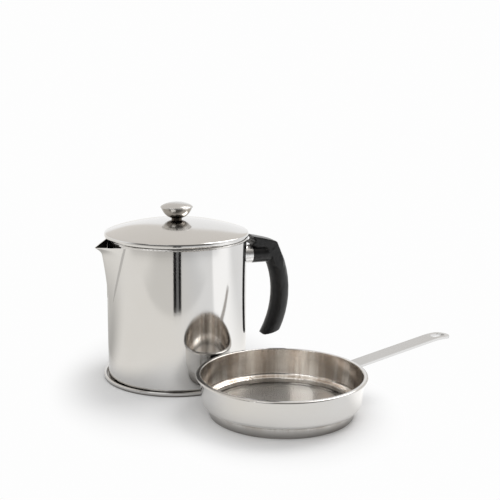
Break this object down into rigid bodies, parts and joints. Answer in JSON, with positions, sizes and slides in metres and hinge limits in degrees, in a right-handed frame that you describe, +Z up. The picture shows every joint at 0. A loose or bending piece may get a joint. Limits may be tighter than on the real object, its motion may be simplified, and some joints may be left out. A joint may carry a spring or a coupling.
{
  "type": "bacon grease container",
  "caption": "Polished steel grease pot with pouring spout, lift-off knobbed lid and black side handle, with a separate flat-handled strainer pan standing beside it.",
  "frame": {"origin": "on the table at the pot's axis", "axes": "+X from the pot's axis towards its side handle, -X towards the spout, +Z up through the lid's knob"},
  "size_m": [0.3002, 0.269, 0.1625],
  "materials": {
    "pot_steel": "polished stainless steel",
    "lid_steel": "polished stainless steel",
    "knob_steel": "mirror polished stainless steel",
    "ferrule_steel": "mirror polished stainless steel",
    "strainer_steel": "satin polished stainless steel",
    "mesh_steel": "fine stainless mesh",
    "bar_steel": "satin stainless steel bar",
    "fitting_steel": "plain stainless steel",
    "handle_plastic": "satin black moulded plastic"
  },
  "bodies": {
    "pot": {"pot_wall": "pot_steel", "pot_base": "pot_steel", "pour_spout": "pot_steel", "handle_bracket": "fitting_steel", "handle_stud": "fitting_steel", "handle_ferrule": "ferrule_steel", "handle_grip": "handle_plastic", "handle_washer": "fitting_steel", "handle_screw": "fitting_steel"},
    "lid": {"lid_shell": "lid_steel", "lid_locating_ring": "lid_steel", "knob_stem": "fitting_steel", "knob_bowl": "knob_steel", "knob_cap": "knob_steel", "knob_washer": "fitting_steel", "knob_screw": "fitting_steel"},
    "strainer": {"strainer_pan": "strainer_steel", "mesh_carrier_ring": "strainer_steel", "strainer_mesh": "mesh_steel", "mesh_clamp_ring": "strainer_steel", "strainer_handle": "bar_steel"}
  },
  "joints": [
    {"name": "lid_lift", "type": "slide", "parent": "pot", "child": "lid", "axis": [0, 0, 1], "range_m": [0, 0.1]},
    {"name": "strainer_lift", "type": "slide", "parent": "pot", "child": "strainer", "axis": [0, 0, 1], "range_m": [0, 0.18]}
  ]
}
